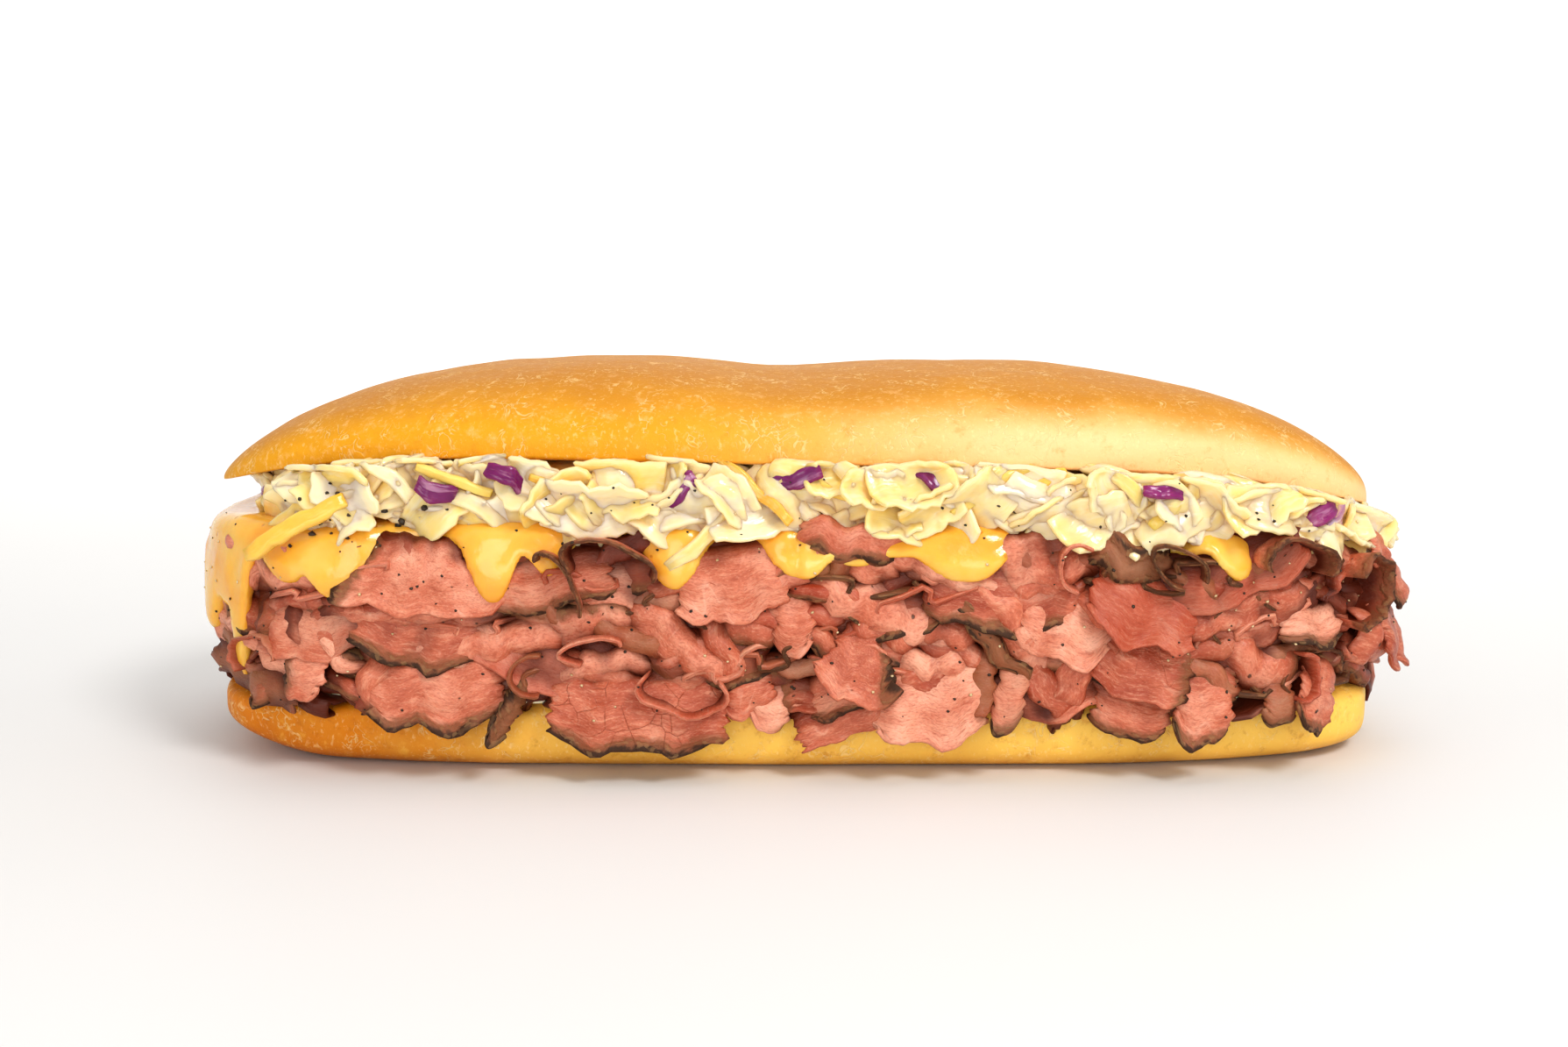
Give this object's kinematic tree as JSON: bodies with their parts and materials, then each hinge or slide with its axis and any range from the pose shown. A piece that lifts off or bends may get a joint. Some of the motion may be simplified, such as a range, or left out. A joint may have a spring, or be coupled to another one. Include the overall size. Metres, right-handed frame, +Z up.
{
  "type": "submarine sandwich",
  "caption": "Long split soft roll heaped with folded shaved roast beef, cheese sauce and coleslaw over mayonnaise, resting on its flat base.",
  "frame": {"origin": "on the flat base of the bottom bun, under the middle of the roll", "axes": "+X along the roll, -Y towards the front that the picture shows, +Z up"},
  "size_m": [0.2405, 0.0897, 0.0761],
  "materials": {
    "top_crust": "soft baked crust with a slight sheen",
    "bottom_crust": "soft baked crust",
    "mayonnaise": "smooth and moist",
    "beef": "moist, with a dark peppered edge",
    "cheese_sauce": "glossy and thick",
    "cabbage": "moist and dressed"
  },
  "bodies": {
    "root": {"bottom_bun": "bottom_crust", "mayonnaise": "mayonnaise", "roast_beef": "beef", "cheese_sauce": "cheese_sauce", "coleslaw": "cabbage", "top_bun": "top_crust"}
  },
  "joints": []
}
